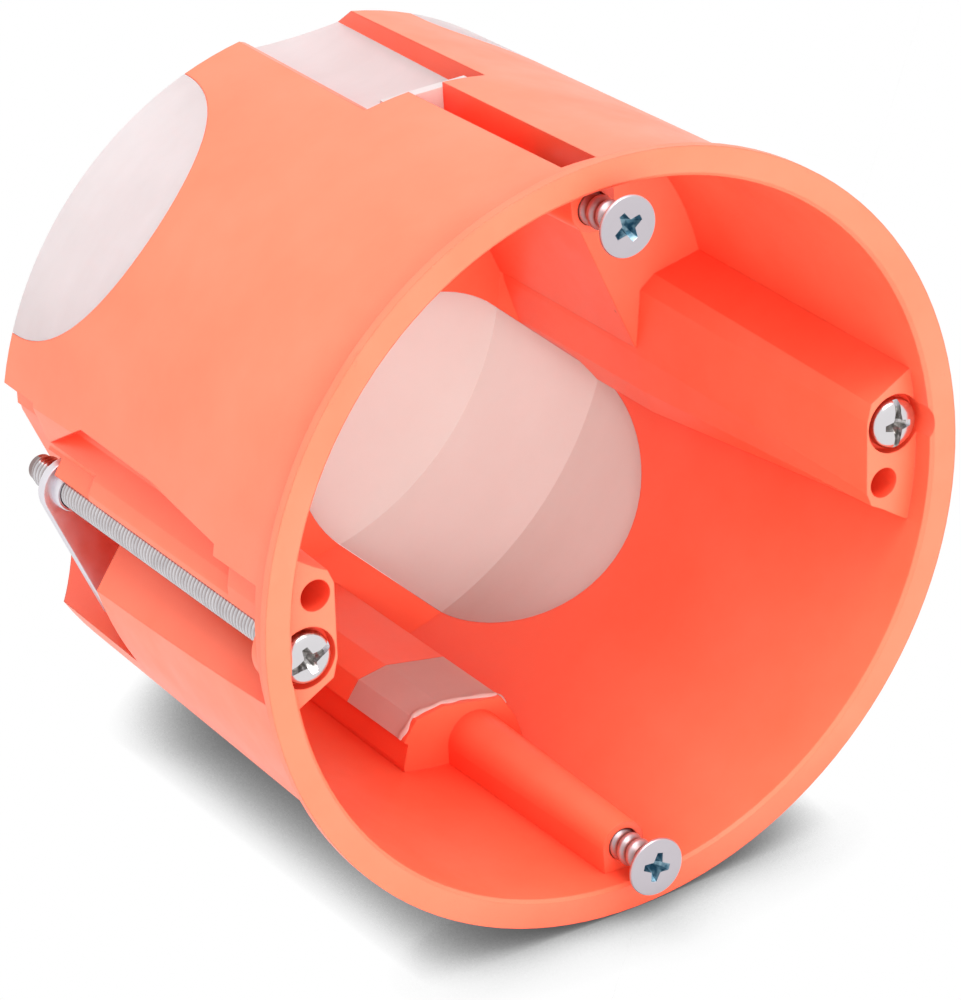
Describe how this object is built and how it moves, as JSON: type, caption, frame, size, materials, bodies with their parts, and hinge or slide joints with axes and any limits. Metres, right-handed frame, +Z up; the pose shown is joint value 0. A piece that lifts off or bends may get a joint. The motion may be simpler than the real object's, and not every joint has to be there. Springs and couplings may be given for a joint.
{
  "type": "drywall back box",
  "caption": "Round hollow-wall back box with a thin flange, soft cable membranes, swing-out steel claws on long screws and screws for a wiring device.",
  "frame": {"origin": "centre of the round mouth, in the front plane of the flange", "axes": "+Y runs into the wall along the box's axis, +Z is up through the upper device screw, +X is to the right of someone facing the wall"},
  "size_m": [0.07, 0.0617, 0.07],
  "materials": {
    "housing_plastic": "fine satin moulding",
    "membrane_soft": "soft, milky and slightly see-through",
    "zinc_steel": "bright zinc plate"
  },
  "bodies": {
    "box": {"housing": "housing_plastic", "membrane_upper_left": "membrane_soft", "membrane_lower_right": "membrane_soft", "membrane_upper_right": "membrane_soft", "duct_membrane_top": "membrane_soft", "duct_membrane_bottom": "membrane_soft"},
    "claw_right": {"claw_right": "zinc_steel"},
    "claw_screw_right": {"claw_screw_right": "zinc_steel"},
    "claw_left": {"claw_left": "zinc_steel"},
    "claw_screw_left": {"claw_screw_left": "zinc_steel"},
    "device_screw_top": {"device_screw_top": "zinc_steel"},
    "device_screw_bottom": {"device_screw_bottom": "zinc_steel"}
  },
  "joints": [
    {"name": "claw_right_swing", "type": "hinge", "parent": "box", "child": "claw_right", "pos_m": [0.03, 0.0423, 0.0013], "axis": [0, 1, 0], "range_deg": [0, 90]},
    {"name": "claw_screw_right_turn", "type": "hinge", "parent": "box", "child": "claw_screw_right", "pos_m": [0.03, 0.02, 0.0013], "axis": [0, 1, 0], "continuous": true},
    {"name": "claw_left_swing", "type": "hinge", "parent": "box", "child": "claw_left", "pos_m": [-0.03, 0.0423, -0.0013], "axis": [0, 1, 0], "range_deg": [0, 90]},
    {"name": "claw_screw_left_turn", "type": "hinge", "parent": "box", "child": "claw_screw_left", "pos_m": [-0.03, 0.02, -0.0013], "axis": [0, 1, 0], "continuous": true},
    {"name": "device_screw_top_travel", "type": "slide", "parent": "box", "child": "device_screw_top", "axis": [0, -1, 0], "range_m": [-0.0022, 0.012]},
    {"name": "device_screw_bottom_travel", "type": "slide", "parent": "box", "child": "device_screw_bottom", "axis": [0, -1, 0], "range_m": [-0.0022, 0.012]}
  ]
}
